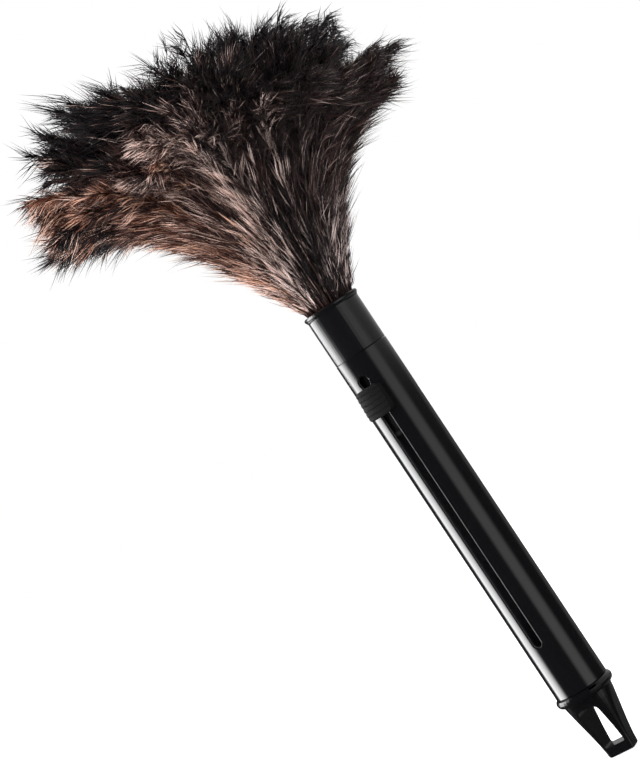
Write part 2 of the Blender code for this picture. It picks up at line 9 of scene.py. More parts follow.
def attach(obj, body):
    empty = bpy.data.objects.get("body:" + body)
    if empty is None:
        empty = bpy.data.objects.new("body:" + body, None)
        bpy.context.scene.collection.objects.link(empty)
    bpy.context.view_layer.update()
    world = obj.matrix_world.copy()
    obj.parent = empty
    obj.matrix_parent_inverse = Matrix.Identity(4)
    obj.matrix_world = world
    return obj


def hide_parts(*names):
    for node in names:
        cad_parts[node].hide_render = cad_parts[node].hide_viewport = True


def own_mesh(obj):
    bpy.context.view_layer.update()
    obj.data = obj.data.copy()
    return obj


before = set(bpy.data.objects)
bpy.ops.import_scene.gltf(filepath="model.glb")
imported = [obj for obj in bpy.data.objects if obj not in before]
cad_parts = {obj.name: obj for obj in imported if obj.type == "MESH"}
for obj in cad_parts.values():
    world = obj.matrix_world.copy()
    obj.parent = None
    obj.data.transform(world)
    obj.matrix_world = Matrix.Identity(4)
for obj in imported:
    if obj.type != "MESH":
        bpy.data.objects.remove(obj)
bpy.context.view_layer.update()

scene = bpy.context.scene
scene.view_settings.view_transform = "Standard"

# The camera stands square to the handle, on its thumb side and 31.5 degrees round to the right. It is tilted in its
# own view, so that the duster leans as it does in the photograph.
view_turn = math.radians(31.5)
lean = math.radians(33.5)
camera_distance = 0.94
sensor_width = 36
view_angle = math.radians(19.57)
upwards = Vector((0, 0, 1))
to_camera = Vector((math.sin(view_turn), -math.cos(view_turn), 0))
to_right = Vector((math.cos(view_turn), math.sin(view_turn), 0))
aim = 0.199 * upwards - 0.0211 * to_right
camera_data = bpy.data.cameras.new("camera")
camera_data.sensor_width = sensor_width
camera_data.lens = sensor_width / 2 / math.tan(view_angle / 2)
camera_data.clip_start = 0.05
camera = bpy.data.objects.new("camera", camera_data)
scene.collection.objects.link(camera)
camera_x = math.cos(lean) * to_right - math.sin(lean) * upwards
camera_y = math.cos(lean) * upwards + math.sin(lean) * to_right
camera_turn = Matrix((camera_x, camera_y, to_camera)).transposed().to_quaternion()
camera.matrix_world = Matrix.LocRotScale(aim + camera_distance * to_camera, camera_turn, None)
scene.camera = camera

# The floor is a pale sheet just under the loop's end. It keeps the duster's shadow, and glossy plastic sees past it
# to the studio's walls, as it would above a floor that ends close by.
floor_level, floor_side = -0.0052, 12
bpy.ops.object.select_all(action="DESELECT")
bpy.ops.mesh.primitive_plane_add(size=floor_side, location=(0, 0, floor_level))
floor = bpy.context.object
floor.name = "floor"
floor.visible_glossy = False


class Value:
    """A shader socket. Sums on it in Python add the Math nodes."""

    def __init__(self, nodes, socket):
        self.nodes = nodes
        self.socket = socket

    def __add__(self, other):
        return self.nodes.math("ADD", self, other)

    def __sub__(self, other):
        return self.nodes.math("SUBTRACT", self, other)

    def __rsub__(self, other):
        return self.nodes.math("SUBTRACT", other, self)

    def __mul__(self, other):
        return self.nodes.math("MULTIPLY", self, other)

    __radd__ = __add__
    __rmul__ = __mul__


class Nodes:
    """A tree of nodes, added one by one. A socket is given a number, a colour or a Value."""

    def __init__(self, tree):
        self.tree = tree

    def give(self, node, sockets):
        for name, value in sockets.items():
            if isinstance(value, Value):
                self.tree.links.new(value.socket, node.inputs[name])
            else:
                node.inputs[name].default_value = value

    def node(self, kind, sockets=None, out=0, **settings):
        made = self.tree.nodes.new(kind)
        for name, value in settings.items():
            setattr(made, name, value)
        self.give(made, sockets or {})
        return Value(self, made.outputs[out])

    def math(self, operation, *values, **settings):
        return self.node("ShaderNodeMath", dict(enumerate(values)), operation=operation, **settings)


class Finish(Nodes):
    """A material that ends in its own shader, whose sockets are named with a _ for each space."""

    def __init__(self, name, **sockets):
        self.material = bpy.data.materials.new(name)
        self.material.use_nodes = True
        super().__init__(self.material.node_tree)
        self.ends_in(**sockets)

    def mix(self, share, first, second):
        """A colour between two, each four numbers or a Value. The node's colour sockets are its 6 and 7."""
        return self.node("ShaderNodeMix", {0: share, 6: first, 7: second}, out=2, data_type="RGBA")

    def noise(self, scale, detail, stretch=(1, 1, 1)):
        """Noise of this many patches a metre, on the piece's own place, about 0 to 1."""
        where = self.node("ShaderNodeTexCoord", out="Object")
        if stretch != (1, 1, 1):
            where = self.node("ShaderNodeMapping", {"Vector": where, "Scale": stretch})
        return self.node("ShaderNodeTexNoise", {"Vector": where, "Scale": scale, "Detail": detail})

    def bump(self, height, strength, depth):
        return self.node("ShaderNodeBump", {"Height": height, "Strength": strength, "Distance": depth})

    def ends_in(self, **sockets):
        shader = self.tree.nodes["Principled BSDF"]
        self.give(shader, {name.replace("_", " "): value for name, value in sockets.items()})
        return self.material


pale_floor = Finish("pale_floor", Base_Color=(0.86, 0.86, 0.86, 1), Roughness=0.9, Emission_Color=(1, 1, 1, 1))
floor_seen = pale_floor.node("ShaderNodeLightPath", out="Is Camera Ray")
floor.data.materials.append(pale_floor.ends_in(Emission_Strength=0.75 * floor_seen))

# The studio is white to the eye. Polished black shows its walls: a tall bright window to the left, the white wall
# to the right of the camera, and black cloth between and behind them.
world = bpy.data.worlds.new("studio")
scene.world = world
world.use_nodes = True
studio = Nodes(world.node_tree)


def edge(value, start, end):
    """0 below start and 1 above end, or the other way round where start is above end."""
    falls = start > end
    return studio.node(
        "ShaderNodeMapRange",
        {
            "Value": value, "From Min": min(start, end), "From Max": max(start, end),
            "To Min": float(falls), "To Max": float(not falls),
        },
        interpolation_type="SMOOTHSTEP",
    )


def band(value, start, full, fading, end):
    """0 outside start and end, and 1 from full to fading."""
    return edge(value, start, full) * edge(value, end, fading)


seen = studio.node("ShaderNodeLightPath", out="Is Camera Ray")
reflected = studio.node("ShaderNodeLightPath", out="Is Glossy Ray")
reflected = reflected + studio.node("ShaderNodeLightPath", out="Is Transmission Ray")
way = studio.node("ShaderNodeTexCoord", out="Generated")
height = studio.node("ShaderNodeSeparateXYZ", {0: way}, out="Z")
# The compass angle of a ray, in degrees: 0 towards the camera, growing to the right
turned = studio.node("ShaderNodeVectorMath", {0: way, 1: to_right}, out="Value", operation="DOT_PRODUCT")
facing = studio.node("ShaderNodeVectorMath", {0: way, 1: to_camera}, out="Value", operation="DOT_PRODUCT")
compass = studio.math("ARCTAN2", turned, facing) * (180 / math.pi)
# Above the level of the collar the window reaches further round, and the wall is dimmer and has no far edge
upper = edge(height, -0.012, 0.004)
window_side = compass + 14 * upper
window = band(window_side, -131, -119, -100, -73) * band(height, -0.36, -0.22, 0.6, 0.85) * (11.4 - 2.6 * upper)
wall = band(compass, 10, 28, 48, 72) * band(height, -0.55, -0.35, 0.7, 0.9) * (0.84 - 1.9 * height)
upper_haze = edge(compass, 50, 74) * upper * 0.6
far_wall = band(compass, 115, 125, 155, 168) * edge(height, 0.05, -0.02) * 0.15
cloth = 0.05
in_gloss = reflected * (window + wall + upper_haze + far_wall + cloth)
on_dull = (1 - (reflected + seen)) * 0.35
studio.give(world.node_tree.nodes["Background"], {"Color": (1, 1, 1, 1), "Strength": seen + in_gloss + on_dull})

# The lamps are large and soft: the window's light from the left, a fill from the right of the camera and a weak one
# from above and behind. Their glare is left to the studio's walls.
plume_middle = Vector((0, 0, 0.27))
for lamp_name, compass_angle, elevation, distance, side, watts in (
    ("window_lamp", -66, 12, 1.1, 0.9, 20.5),
    ("fill_lamp", 33, 25, 1.2, 0.9, 8),
    ("back_lamp", 165, 50, 1.2, 0.7, 6),
):
    lamp_data = bpy.data.lights.new(lamp_name, "AREA")
    lamp_data.shape = "SQUARE"
    lamp_data.size = side
    lamp_data.energy = watts
    lamp = bpy.data.objects.new(lamp_name, lamp_data)
    scene.collection.objects.link(lamp)
    around, above = math.radians(compass_angle), math.radians(elevation)
    level = math.cos(around) * to_camera + math.sin(around) * to_right
    outwards = math.cos(above) * level + math.sin(above) * upwards
    lamp.location = plume_middle + distance * outwards
    lamp.rotation_euler = outwards.to_track_quat("Z", "Y").to_euler()
    lamp.visible_glossy = False
    lamp.visible_camera = False

# The handle tube is moulded in polished black plastic, with a keyhole slot that the button's neck runs in. Its gloss
# is even, with the faintest ripple of a moulded skin. The collar and the cap plug into its ends.
tube_radius, tube_wall = 0.0125, 0.0015
tube_foot, tube_top = 0.02874, 0.19926
rim_round = 0.0002
slot_half, slot_foot, slot_round = 0.00225, 0.0533, 0.00038
hole_radius, hole_level = 0.00275, 0.1876
bore_skin = 0.0119

bpy.ops.object.select_all(action="DESELECT")
bpy.ops.mesh.primitive_cylinder_add(
    vertices=180, radius=tube_radius, depth=tube_top - tube_foot, end_fill_type="NOTHING",
    location=(0, 0, (tube_foot + tube_top) / 2),
)
tube = bpy.context.object
tube.name = "tube_shell"
bpy.ops.object.transform_apply()


def finish_with(piece, kind, **settings):
    """Adds a modifier to a piece and applies it."""
    bpy.ops.object.select_all(action="DESELECT")
    piece.select_set(True)
    bpy.context.view_layer.objects.active = piece
    modifier = piece.modifiers.new(kind.lower(), kind)
    for name, value in settings.items():
        setattr(modifier, name, value)
    bpy.ops.object.modifier_apply(modifier=modifier.name)


finish_with(tube, "SOLIDIFY", thickness=tube_wall, offset=-1)
finish_with(tube, "BEVEL", width=rim_round, segments=3, limit_method="ANGLE", angle_limit=math.radians(60))


def arc_places(level, radius, start, end, parts):
    turns = [math.radians(start + (end - start) * part / parts) for part in range(parts + 1)]
    return [(radius * math.cos(turn), level + radius * math.sin(turn)) for turn in turns]


def keyhole_places(grow):
    """The keyhole's outline, this much wider all round."""
    meet = math.degrees(math.asin((slot_half + grow) / (hole_radius + grow)))
    foot = arc_places(slot_foot + slot_half, slot_half + grow, 180, 360, 24)
    return foot + arc_places(hole_level, hole_radius + grow, meet - 90, 270 - meet, 48)


# The cutter's rings follow the tube's outside, so the slot's edge is round all the way along
cutter_back, cutter_front, past_skin = -0.008, -0.016, 0.0001
rings = [[(x, cutter_back, z) for x, z in keyhole_places(0)]]
for turn in (0, 20, 40, 60, 78):
    grow = slot_round * (1 - math.cos(math.radians(turn)))
    reach = tube_radius - slot_round * (1 - math.sin(math.radians(turn)))
    rings.append([(x, -math.sqrt(reach**2 - x**2), z) for x, z in keyhole_places(grow)])
grow += past_skin * math.tan(math.radians(turn))
rings.append([(x, -math.sqrt((reach + past_skin) ** 2 - x**2), z) for x, z in keyhole_places(grow)])
rings.append([(x, cutter_front, z) for x, z in keyhole_places(grow)])
cutter_mesh = bmesh.new()
rows = [[cutter_mesh.verts.new(place) for place in ring] for ring in rings]
for low, high in zip(rows, rows[1:]):
    for corner in range(len(low)):
        beside = (corner + 1) % len(low)
        cutter_mesh.faces.new((low[corner], low[beside], high[beside], high[corner]))
cutter_mesh.faces.new(rows[0])
cutter_mesh.faces.new(rows[-1][::-1])
bmesh.ops.recalc_face_normals(cutter_mesh, faces=cutter_mesh.faces)
cutter = bpy.data.objects.new("keyhole_cutter", bpy.data.meshes.new("keyhole_cutter"))
cutter_mesh.to_mesh(cutter.data)
cutter_mesh.free()
scene.collection.objects.link(cutter)
finish_with(tube, "BOOLEAN", operation="DIFFERENCE", object=cutter, solver="EXACT")
bpy.data.objects.remove(cutter)
bpy.ops.object.shade_smooth_by_angle(angle=math.radians(40))
finish_with(tube, "WEIGHTED_NORMAL", keep_sharp=True, weight=80)


def moulded_black(name, colour, roughness, ripple, gloss=0.5, bore=0.0):
    """Black plastic. Nearer the axis than the bore it is a dull grey: painted light on the shaded inside of the
    tube.
    """
    finish = Finish(name, Specular_IOR_Level=gloss)
    grain = finish.noise(900, 3.0)
    cloud = finish.noise(60, 2.0)
    place = finish.node("ShaderNodeTexCoord", out="Object")
    level = finish.node("ShaderNodeVectorMath", {0: place, 1: (1, 1, 0)}, operation="MULTIPLY")
    from_axis = finish.node("ShaderNodeVectorMath", {0: level}, out="Value", operation="LENGTH")
    inside = finish.math("LESS_THAN", from_axis, bore)
    dark = tuple(0.8 * part for part in colour)
    # Painted light: the bore is lifted to a dull grey, though it lies in shade
    painted_bore_light = (0.07, 0.07, 0.078, 1)
    return finish.ends_in(
        Base_Color=finish.mix(inside, finish.mix(cloud, (*dark, 1), (*colour, 1)), painted_bore_light),
        Roughness=roughness + (cloud - 0.5) * 0.04 + (grain - 0.5) * 0.02 + inside * 0.4,
        Normal=finish.bump(grain, ripple, 0.00005),
    )


# The tube's bore is painted a dull grey, as painted light in its shade
tube.data.materials.append(moulded_black("tube_black", (0.0032, 0.0032, 0.0040), 0.13, 0.05, bore=bore_skin))
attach(tube, "handle")
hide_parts("handle_tube")

# The nose collar is a sleeve with a flared lip that guides the down in and out. It is the same black plastic from
# another mould, a little less sharp in its shine, and its plug is pressed into the tube's upper end.
collar_black = moulded_black("collar_black", (0.0036, 0.0036, 0.0044), 0.19, 0.08)


def paint_node(node, material):
    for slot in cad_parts[node].material_slots:
        slot.material = material


paint_node("nose_collar", collar_black)

# The end cap closes the tube's lower end with a rounded flange, and tapers into the hanging loop. It is moulded in
# one piece in the same black, and is held by its plug.
paint_node("end_cap", moulded_black("cap_black", (0.0030, 0.0030, 0.0036), 0.17, 0.08, 0.34))

# The thumb button has ribs across it for grip. It is satin black plastic, finely textured where the thumb rests,
# and its neck runs in the slot.
paint_node("thumb_button", moulded_black("button_black", (0.0075, 0.0075, 0.0080), 0.62, 0.2, 0.10))

# The slide carriage is a hollow plug with springy tongues that rub in the bore, and it holds the button's foot. It
# is moulded in a duller black, and only a strip of it shows, in the slot.
paint_node("slide_carriage", moulded_black("carriage_black", (0.0070, 0.0070, 0.0078), 0.45, 0.3, 0.3))

# The quill cup takes the feet of all the quills. It is a dull black moulding, pressed on the carriage's stem, and
# narrow enough to pass through the collar.
paint_node("quill_cup", moulded_black("cup_black", (0.0045, 0.0045, 0.0050), 0.6, 0.3, 0.2))

# The core peg is a turned stick of pale wood, which stands in the carriage's head and fills the middle of the
# bundle of quills. Its grain runs along it.
peg_wood = Finish("peg_wood", Roughness=0.6, Specular_IOR_Level=0.3)
grain = peg_wood.noise(420, 4.0, stretch=(1, 1, 0.08))
paint_node("core_peg", peg_wood.ends_in(
    Base_Color=peg_wood.mix(grain, (0.50, 0.31, 0.15, 1), (0.66, 0.47, 0.27, 1)),
    Normal=peg_wood.bump(grain, 0.3, 0.0001),
))

# The binding is one length of drawn steel wire, wound tight round the quills above the cup to hold them in their
# rings. Drawing leaves its shine slightly uneven.
wire_steel = Finish("wire_steel", Base_Color=(0.52, 0.51, 0.49, 1), Metallic=1.0)
drawn = wire_steel.noise(700, 2.0)
paint_node("binding_wire", wire_steel.ends_in(Roughness=0.32 + (drawn - 0.5) * 0.12))

# The feathers' quills are horn, packed in four rings round the peg. They stand in the cup, and the wire binds them.
# They are tapered rods with rounded ends, modelled as one bundle.
quill_radius, quill_foot, quill_top = 0.00052, 0.1846, 0.2140
foot_share, quill_round = 0.6, 0.0001
quill_rings = ((6, 0.002894), (9, 0.00433), (12, 0.00577), (15, 0.00721))
feather_nodes = [f"feather_{number:02d}" for number in range(1, 43)]
bpy.ops.object.select_all(action="DESELECT")
quill_places = []
for quills, ring_radius in quill_rings:
    for quill in range(quills):
        turn = 2 * math.pi * quill / quills
        quill_places.append((ring_radius * math.cos(turn), ring_radius * math.sin(turn)))
for number, (x, y) in enumerate(quill_places):
    bpy.ops.mesh.primitive_cone_add(
        vertices=10, radius1=quill_radius * foot_share, radius2=quill_radius, depth=quill_top - quill_foot,
        location=(x, y, (quill_foot + quill_top) / 2),
    )
    if number == 0:
        quill_bundle = bpy.context.object
        bpy.ops.object.transform_apply()
        bpy.ops.object.mode_set(mode="EDIT")
bpy.ops.object.mode_set(mode="OBJECT")
quill_bundle.name = "quill_bundle"
finish_with(
    quill_bundle, "BEVEL", width=quill_round, segments=2, limit_method="ANGLE", angle_limit=math.radians(50),
)
bpy.ops.object.shade_smooth_by_angle(angle=math.radians(45))
quill_horn = Finish("quill_horn", Specular_IOR_Level=0.4)
fibre = quill_horn.noise(900, 3.0, stretch=(1, 1, 0.1))
quill_bundle.data.materials.append(quill_horn.ends_in(
    Base_Color=quill_horn.mix(fibre, (0.20, 0.14, 0.09, 1), (0.42, 0.33, 0.24, 1)),
    Roughness=0.4 + (fibre - 0.5) * 0.2, Normal=quill_horn.bump(fibre, 0.2, 0.00005),
))
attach(quill_bundle, "slide")
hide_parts(*feather_nodes)

# The plume is some four hundred soft feathers of ostrich down, bound by their quills. The shafts rise from the
# mouth and bend outwards, further and lower the nearer they stand to the outside, and most of all on the left. It
# is worked out in millimetres from the middle of the mouth.
feather_count, clump_count = 440, 76
mouth_height = 0.2236
golden_turn = 137.508
inner_ring, outer_ring, foot_level = 2.9, 7.2, -10.0
barb_reach = 30.0
plume_seed = np.random.default_rng(20)

# The bends of a shaft as distance from the axis and height, for the inner, middle and outer feathers on each side
shaft_bends = {
    "right": (((3, 45), (8, 95), (17, 121)), ((9, 30), (30, 85), (57, 102)), ((18.5, 14), (31, 60), (74, 62))),
    "back": (((3, 45), (8, 95), (17, 121)), ((8, 32), (26, 90), (50, 106)), ((17, 17), (36, 74), (74, 80))),
    "left": (((3, 45), (8, 95), (17, 121)), ((9, 32), (28, 99), (52, 126)), ((18, 16), (36, 82), (84, 80))),
    "front": (((3, 45), (8, 95), (17, 118)), ((8, 32), (24, 88), (44, 105)), ((17, 17), (33, 74), (58, 84))),
}

# Lobes that stand out of the round shape: side, its width, layer, its width, further out and higher at the tip
lobes = (
    (180, 24, 0.80, 0.10, 13, 8), (172, 18, 0.99, 0.06, 8, -2), (198, 16, 0.66, 0.12, 2, 6),
    (8, 20, 0.93, 0.13, 18, 13), (0, 20, 0.99, 0.05, -7, -9), (22, 16, 0.66, 0.12, 5, 5),
    (-150, 12, 0.48, 0.14, -4, 12), (150, 16, 0.45, 0.14, 6, 12), (-40, 18, 0.42, 0.12, -6, 6),
    (90, 25, 0.35, 0.15, 4, 10),
)


def rise(value, start, end):
    """0 before start and 1 past end, smoothly. It falls where start is above end."""
    share = np.clip((value - start) / (end - start), 0, 1)
    return share * share * (3 - 2 * share)


def hump(value, middle, width):
    return np.exp(-(((value - middle) / width) ** 2))


def around_from(side, middle):
    """The way round the plume from an angle, in degrees between -180 and 180."""
    return (side - middle + 180) % 360 - 180


def near_side(side, middle, width):
    return hump(around_from(side, middle), 0, width)


def layers(count):
    """The layers of this many feathers or clumps, the closest together at the outside."""
    return ((np.arange(count) + 0.5) / count) ** 0.70


def on_disc(side, layer):
    return np.stack((layer * np.cos(np.radians(side)), layer * np.sin(np.radians(side))), axis=-1)


# The feathers stand in clumps, as the strands of one large feather do. Round the plume, 0 is the right of the
# picture, -90 the front and 180 the left. The layer runs from 0 at the axis to 1 at the outside.
clump_layer = layers(clump_count)
clump_side = (np.arange(clump_count) * golden_turn + 40) % 360 - 180
feather_layer = layers(feather_count)
feather_side = np.arange(feather_count) * golden_turn + plume_seed.normal(0, 5, feather_count)
feather_side = feather_side % 360 - 180
apart = np.linalg.norm(
    on_disc(feather_side, feather_layer)[:, None] - on_disc(clump_side, clump_layer)[None], axis=2
)
clump = apart.argmin(axis=1)
clump_spread = 0.11
off_middle = np.clip(apart.min(axis=1) / clump_spread, 0, 1.2)


def bends_at(side, layer):
    """The bends of shafts at these sides and layers: the table's, with the lobes."""
    angle = np.radians(side)
    side_shares = {
        "right": np.clip(np.cos(angle), 0, 1) ** 2, "back": np.clip(np.sin(angle), 0, 1) ** 2,
        "left": np.clip(-np.cos(angle), 0, 1) ** 2, "front": np.clip(-np.sin(angle), 0, 1) ** 2,
    }
    inner = np.clip(1 - layer * 2, 0, 1)[:, None, None]
    outer = np.clip(layer * 2 - 1, 0, 1)[:, None, None]
    found = np.zeros((len(side), 3, 2))
    for name, share in side_shares.items():
        table = np.array(shaft_bends[name], float)
        found += share[:, None, None] * (inner * table[0] + (1 - inner - outer) * table[1] + outer * table[2])
    for lobe_side, width, lobe_layer, depth, further, higher in lobes:
        share = near_side(side, lobe_side, width) * hump(layer, lobe_layer, depth)
        shift = share[:, None] * np.array((further, higher))
        found[:, 2] += shift
        found[:, 1] += shift * 0.3
    return found


# A shaft is drawn towards the middle of its clump, more at the tip than at the foot
pull = np.array((0, 0.15, 0.32))[None, :, None]
bends = bends_at(feather_side, feather_layer) * (1 - pull) + bends_at(clump_side, clump_layer)[clump] * pull
clump_size = plume_seed.normal(1, 0.024, clump_count)
shaft_size = clump_size[clump] * plume_seed.normal(1, 0.022, feather_count) * (1.01 - 0.03 * off_middle**2)
bends *= shaft_size[:, None, None]
foot = np.stack(
    (inner_ring + (outer_ring - inner_ring) * feather_layer, np.full(feather_count, foot_level)), axis=1
)

# Each shaft is a row of places a fixed step apart, and runs on straight past its tip, where its last barbs go
steps, curve_parts = 72, 90
run = np.linspace(0, 1, curve_parts)[None, :, None]
flat = (
    foot[:, None] * (1 - run) ** 3 + bends[:, None, 0] * 3 * run * (1 - run) ** 2
    + bends[:, None, 1] * 3 * run**2 * (1 - run) + bends[:, None, 2] * run**3
)
lengths = np.zeros((feather_count, curve_parts))
lengths[:, 1:] = np.cumsum(np.linalg.norm(np.diff(flat, axis=1), axis=2), axis=1)
shaft_length = lengths[:, -1]
end_way = flat[:, -1] - flat[:, -4]
end_way /= np.linalg.norm(end_way, axis=1)[:, None]
pace = (shaft_length + barb_reach) / (steps - 1)
shaft_flat = np.zeros((feather_count, steps, 2))
for feather in range(feather_count):
    at = pace[feather] * np.arange(steps)
    past_tip = np.clip(at - shaft_length[feather], 0, None)[:, None]
    for axis in (0, 1):
        shaft_flat[feather, :, axis] = np.interp(at, lengths[feather], flat[feather, :, axis])
    shaft_flat[feather] += past_tip * end_way[feather]
# As it rises, a shaft drifts sideways by some degrees, and part of the way to its clump
drift = plume_seed.normal(0, 4, feather_count) + 0.30 * around_from(clump_side[clump], feather_side)
turning = (np.arange(steps) / steps)[None, :] ** 1.5 * np.radians(drift)[:, None]
shaft_turn = np.radians(feather_side)[:, None] + view_turn + turning
shaft_places = np.stack(
    (shaft_flat[..., 0] * np.cos(shaft_turn), shaft_flat[..., 0] * np.sin(shaft_turn), shaft_flat[..., 1]), axis=2
)


def on_shaft(feather, distance):
    """Places at distances along feathers, with the ways sideways and outwards there."""
    step = np.clip(distance / pace[feather], 0, steps - 1.001)
    low = step.astype(int)
    part = (step - low)[..., None]
    place = shaft_places[feather, low] * (1 - part) + shaft_places[feather, low + 1] * part
    along = shaft_places[feather, low + 1] - shaft_places[feather, low]
    along /= np.linalg.norm(along, axis=-1)[..., None]
    turn = shaft_turn[feather, low]
    aside = np.stack((-np.sin(turn), np.cos(turn), np.zeros_like(turn)), axis=-1)
    return place, aside, np.cross(aside, along)


def barb_places(feather, start, length, angle, tilt, lift, curl):
    """The three places along each barb: it follows the shaft ahead while it moves away from it."""
    share = np.linspace(0, 1, 3)[None, :]
    opening = angle[:, None] * (1 - 0.35 * share)
    forward = start[:, None] + length[:, None] * share * np.cos(opening)
    away = length[:, None] * share * np.sin(opening)
    place, aside, outwards = on_shaft(np.repeat(feather[:, None], 3, axis=1), forward)
    place = place + aside * (away * np.cos(tilt)[:, None])[..., None]
    place += outwards * (away * np.abs(np.sin(tilt))[:, None] * np.sign(tilt)[:, None] * 0.9)[..., None]
    place += outwards * (length[:, None] * lift[:, None] * share)[..., None]
    return place + curl[:, None, :] * (length[:, None] * share**2)[..., None]


# Whole feathers are pale in a streak up the front and red along the left edge; the rest are nearly black. A tone is
# how much pigment is lacking, from 0 for black to 1 for pale, and a red runs from 0 for grey to 1 for red-brown.
clump_outer = rise(clump_layer, 0.50, 0.68)
streak = near_side(clump_side, -106, 16)
thin_streak = near_side(clump_side, -60, 11)
front_left = rise(clump_side, -176, -160) * rise(clump_side, -100, -125)
clump_tone = plume_seed.normal(0.165, 0.045, clump_count)
clump_tone += 0.10 * front_left * clump_outer * plume_seed.uniform(0.0, 1.8, clump_count)
clump_red = plume_seed.normal(0.20, 0.06, clump_count) + 0.14 * front_left
feather_tone = clump_tone[clump] * plume_seed.uniform(0.6, 1.4, feather_count)
pale_chance = (clump_outer * (0.72 * streak + 0.09 * front_left + 0.13 * thin_streak))[clump]
pale_feather = plume_seed.uniform(0, 1, feather_count) < pale_chance
feather_tone = np.where(pale_feather, plume_seed.normal(0.82, 0.12, feather_count), feather_tone)
feather_red = np.where(pale_feather, 0.22, clump_red[clump] + plume_seed.normal(0, 0.06, feather_count))
red_chance = 0.85 * near_side(feather_side, 180, 42) * rise(feather_layer, 0.79, 0.83)
red_chance *= rise(feather_layer, 0.96, 0.92)
red_feather = plume_seed.uniform(0, 1, feather_count) < red_chance
feather_tone = np.where(red_feather, plume_seed.uniform(0.38, 0.64, feather_count), feather_tone)
feather_red = np.where(red_feather, 0.95, feather_red)

# A feather's barbs are long and limp. They leave the shaft in tufts that lean forward and share a way and a tone,
# and the outer feathers, and those at the plume's two ends, carry more of them.
tuft_count, barbs_per_tuft = 37500, 5
first_tuft, lowest_barb = 9.5, 9.0
likely = shaft_length * (0.35 + 0.65 * feather_layer)
likely *= 1 + 0.9 * near_side(feather_side, 8, 28) * rise(feather_layer, 0.7, 0.9)
likely *= 1 + 0.9 * near_side(feather_side, 180, 40) * rise(feather_layer, 0.6, 0.85)
tuft_feather = plume_seed.choice(feather_count, tuft_count, p=likely / likely.sum())
tuft_share = plume_seed.uniform(0, 1, tuft_count) ** 0.62
# One tuft in ten is moved down to the neck, which is as thick with down as the rest
tuft_share = np.where(np.arange(tuft_count) % 10 == 0, 0.24 * tuft_share, tuft_share)
tuft_start = first_tuft + tuft_share * (shaft_length[tuft_feather] - first_tuft)
# At a feather's tip the tufts are shorter, spread and droop, so the tip is round and soft
at_tip = rise(tuft_share, 0.72, 1.0)
tuft_length = 10 + 8 * rise(tuft_share, 0.02, 0.4) - 6.5 * at_tip
tuft_length *= plume_seed.uniform(0.7, 1.3, tuft_count)
tuft_angle = np.radians(33 + 25 * at_tip) * plume_seed.uniform(0.1, 1.2, tuft_count)
tuft_angle *= plume_seed.choice((-1, 1), tuft_count)
tuft_tilt = plume_seed.normal(0, 0.62, tuft_count)
tuft_lift = plume_seed.normal(0.06, 0.13, tuft_count) * rise(tuft_share, -0.1, 0.25)
tuft_curl = plume_seed.normal(0, 1, (tuft_count, 3)) * (0.06 + 0.10 * tuft_share)[:, None]
clump_sweep = plume_seed.normal(0, 0.18, (clump_count, 3)) + np.array((-0.08, 0, -0.20))
tuft_curl += clump_sweep[clump[tuft_feather]] * at_tip[:, None]
# The barbs of a pale feather lie close along its shaft, in a narrow ribbon
narrow = pale_feather[tuft_feather]
tuft_angle = np.where(narrow, 0.42 * tuft_angle, tuft_angle)
tuft_tilt = np.where(narrow, 0.5 * tuft_tilt, tuft_tilt)
tuft_lift = np.where(narrow, tuft_lift + 0.06, tuft_lift)
tuft_curl = np.where(narrow[:, None], 0.45 * tuft_curl, tuft_curl)

# Where a tuft is, taken at its middle
tuft_middle = barb_places(tuft_feather, tuft_start, tuft_length, tuft_angle, tuft_tilt, tuft_lift, tuft_curl)[:, 1]
tuft_side, tuft_layer = feather_side[tuft_feather], feather_layer[tuft_feather]
tuft_height, tuft_out = tuft_middle[:, 2], np.hypot(tuft_middle[:, 0], tuft_middle[:, 1])
outside = rise(tuft_layer, 0.5, 0.9)
left = near_side(tuft_side, 180, 62)
neck = 1 - rise(tuft_height, 12, 47)
neck_left = (rise(tuft_side, -106, -126) + rise(tuft_side, 100, 140)) * neck
neck_right = near_side(tuft_side, -8, 52)
# Painted shade: the front of the neck is darkened to look like a gap between its sides
neck_gap_shade = near_side(tuft_side, -93, 22) * hump(tuft_height, 14, 18)
dark_side = near_side(tuft_side, 172, 45) * hump(tuft_layer, 0.52, 0.17)
dark_side += 0.25 * near_side(tuft_side, -72, 16) * hump(tuft_height, 42, 20)
streak_middle = -116 + 18 * rise(tuft_height, 25, 65) - 6 * rise(tuft_height, 70, 100)
streak_tuft = near_side(tuft_side, streak_middle, 13) * hump(tuft_height, 52, 38) * outside
streak_top = near_side(tuft_side, -135, 25) * hump(tuft_height, 88, 14) * outside

# How pale each tuft is: its feather's tone, more at both sides of the neck and up the streak, and less at the left
# end's tip, in its under layer and, as the painted shade of a gap above the red band, within it, except on the red
# feathers
paleness = feather_tone[tuft_feather] * plume_seed.uniform(0.55, 1.3, tuft_count)
paleness += 0.46 * neck_left * plume_seed.uniform(0, 1.8, tuft_count)
right_edge = neck_right * (0.38 * (1 - rise(tuft_height, 10, 75)) + 0.05) * outside
paleness += right_edge * plume_seed.uniform(0.4, 1.6, tuft_count)
paleness += 0.20 * streak_tuft + 0.10 * streak_top
# Tufts high on the plume are made a little darker, a painted shade on the top
paleness += 0.06 * left * outside * hump(tuft_height, 62, 18) - 0.04 * rise(tuft_height, 80, 115)
dark_tip = 0.20 * rise(tuft_out, 52, 68)
dark_under = 0.34 * rise(tuft_layer, 0.91, 0.96) * rise(tuft_out, 56, 68)
